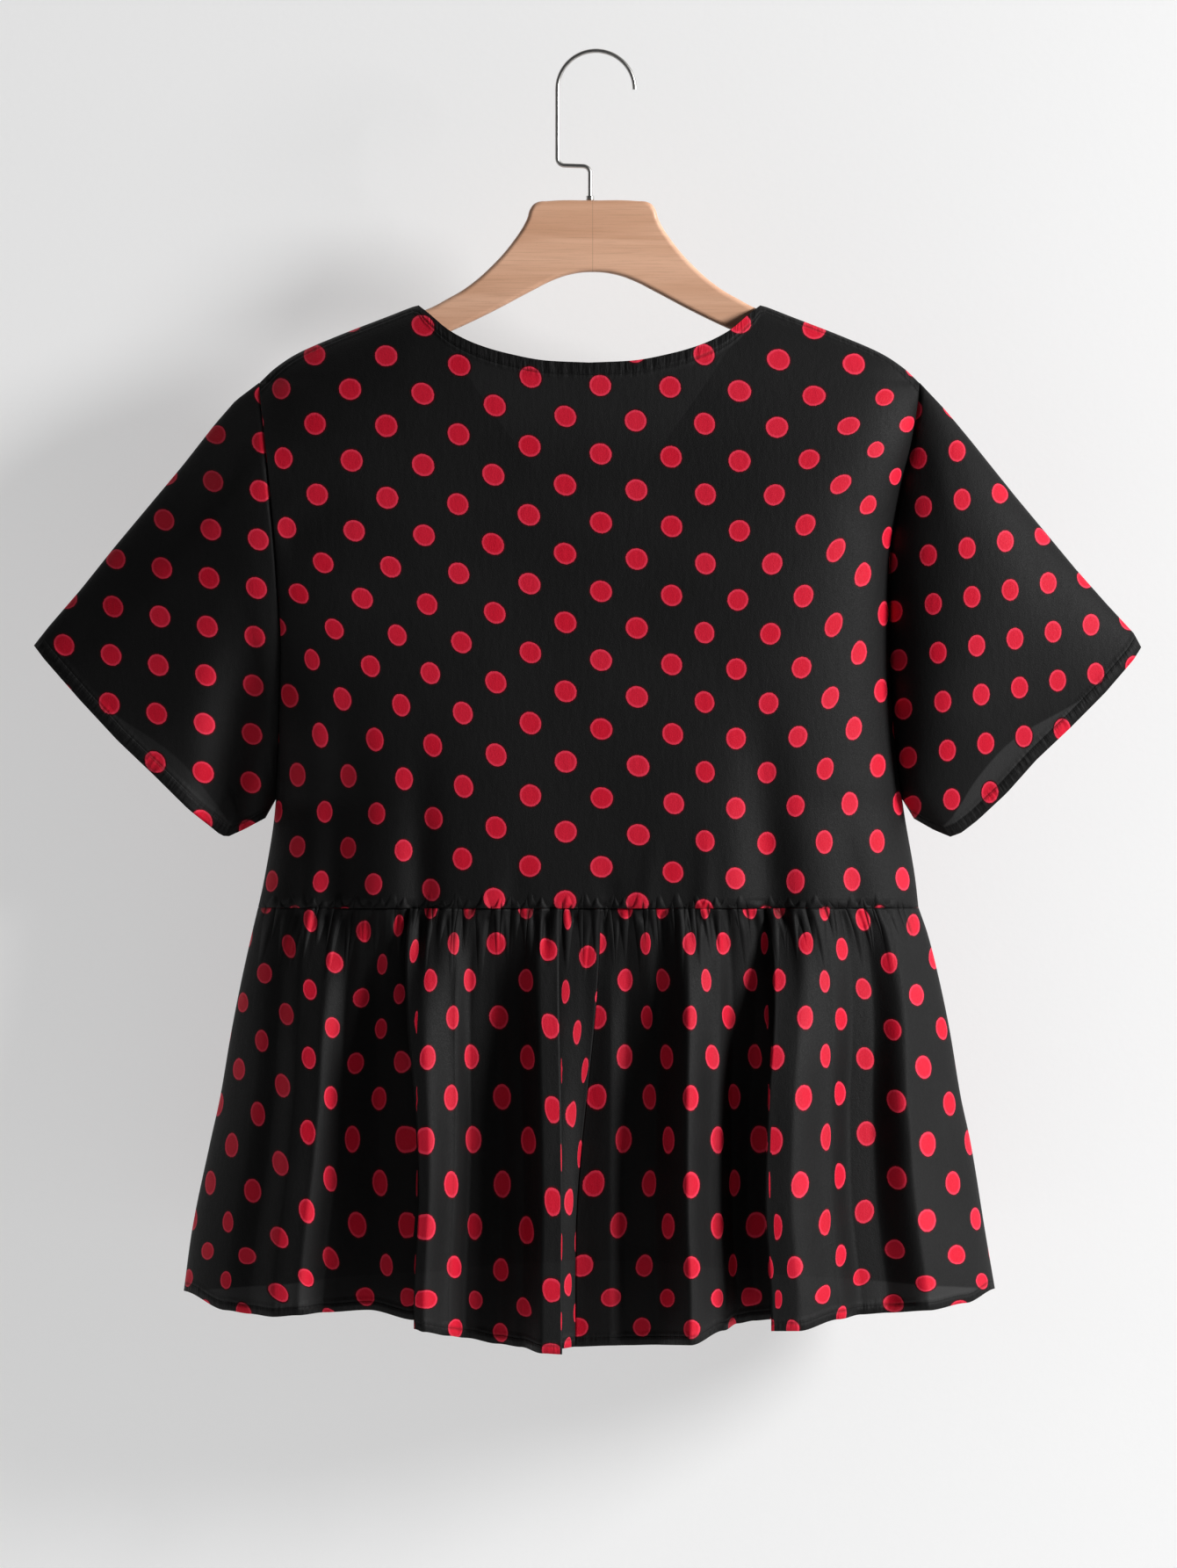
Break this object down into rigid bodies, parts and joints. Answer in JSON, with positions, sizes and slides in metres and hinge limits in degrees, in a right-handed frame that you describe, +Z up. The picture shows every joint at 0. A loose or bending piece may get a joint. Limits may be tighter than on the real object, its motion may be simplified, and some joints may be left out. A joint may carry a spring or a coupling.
{
  "type": "peplum top on a hanger",
  "caption": "Short-sleeved loose top with a gathered flared peplum, hung by its shoulders on a flat wooden hanger with a wire hook.",
  "frame": {"origin": "inside of the hook's bend, where it bears on its rail, above the hook's stem", "axes": "+Z up; +X to the right for someone who looks at the back of the top; the back of the top faces -Y"},
  "size_m": [0.7571, 0.1784, 0.8872],
  "materials": {
    "crepe": "matt crepe with red dots",
    "facing": "matt crepe",
    "wood": "satin lacquer",
    "hook": "polished plating"
  },
  "bodies": {
    "root": {"back_bodice": "crepe", "front_bodice": "crepe", "sleeve_left": "crepe", "sleeve_right": "crepe", "peplum_back_left": "crepe", "peplum_back_right": "crepe", "peplum_front": "crepe", "neck_facing_back": "facing", "neck_facing_front": "facing", "hanger_wood": "wood", "hanger_hook": "hook", "hook_ferrule": "hook"}
  },
  "joints": []
}
